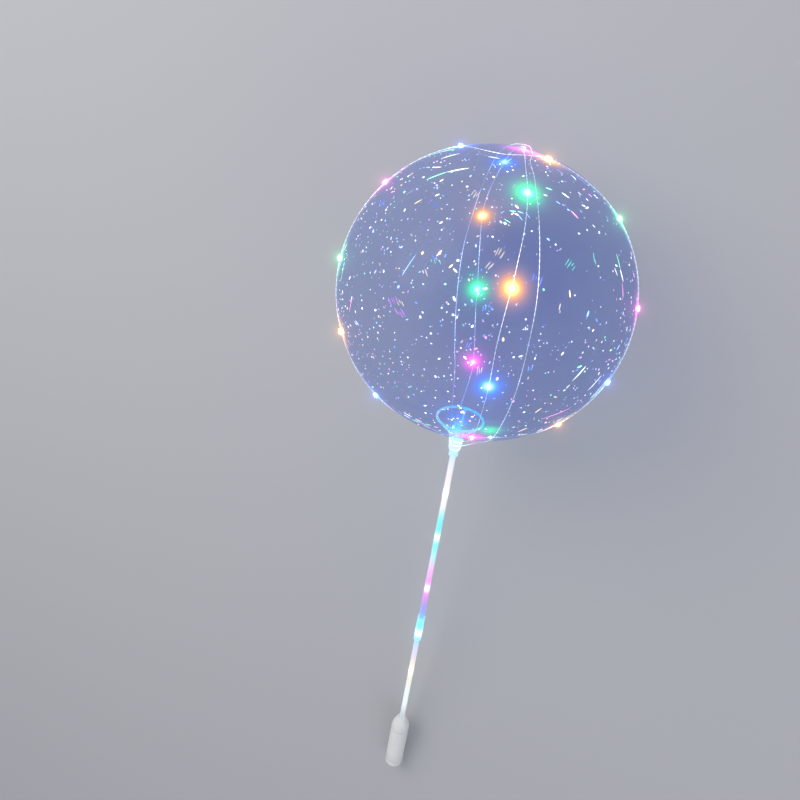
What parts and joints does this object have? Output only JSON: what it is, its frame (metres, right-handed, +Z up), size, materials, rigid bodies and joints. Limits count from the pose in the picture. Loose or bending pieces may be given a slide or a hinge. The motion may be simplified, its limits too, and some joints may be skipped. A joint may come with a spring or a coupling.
{
  "type": "lighted balloon on a stick",
  "caption": "Clear round film balloon seated in an open ring cup on a jointed clear tube with a battery grip, wrapped in a string of small coloured lights.",
  "frame": {"origin": "middle of the balloon's small flat spot, on the floor that the part lies on", "axes": "+Z up from the floor, +Y towards the balloon's crown, the stick runs to -Y and leans down to the floor, +X to the right seen from above with the crown upwards"},
  "size_m": [0.331, 0.9559, 0.3292],
  "materials": {
    "clear_film": "clear, shiny and slightly wrinkled film",
    "clear_plastic": "clear moulded plastic",
    "white_plastic": "smooth, slightly shiny",
    "silver_wire": "bright thin enamelled wire with clear lit drops"
  },
  "bodies": {
    "root": {"balloon": "clear_film", "cup": "clear_plastic", "tube_upper": "clear_plastic", "coupler": "clear_plastic", "tube_lower": "clear_plastic", "grip": "white_plastic", "end_cap": "white_plastic", "light_string": "silver_wire", "return_wire": "silver_wire"}
  },
  "joints": []
}
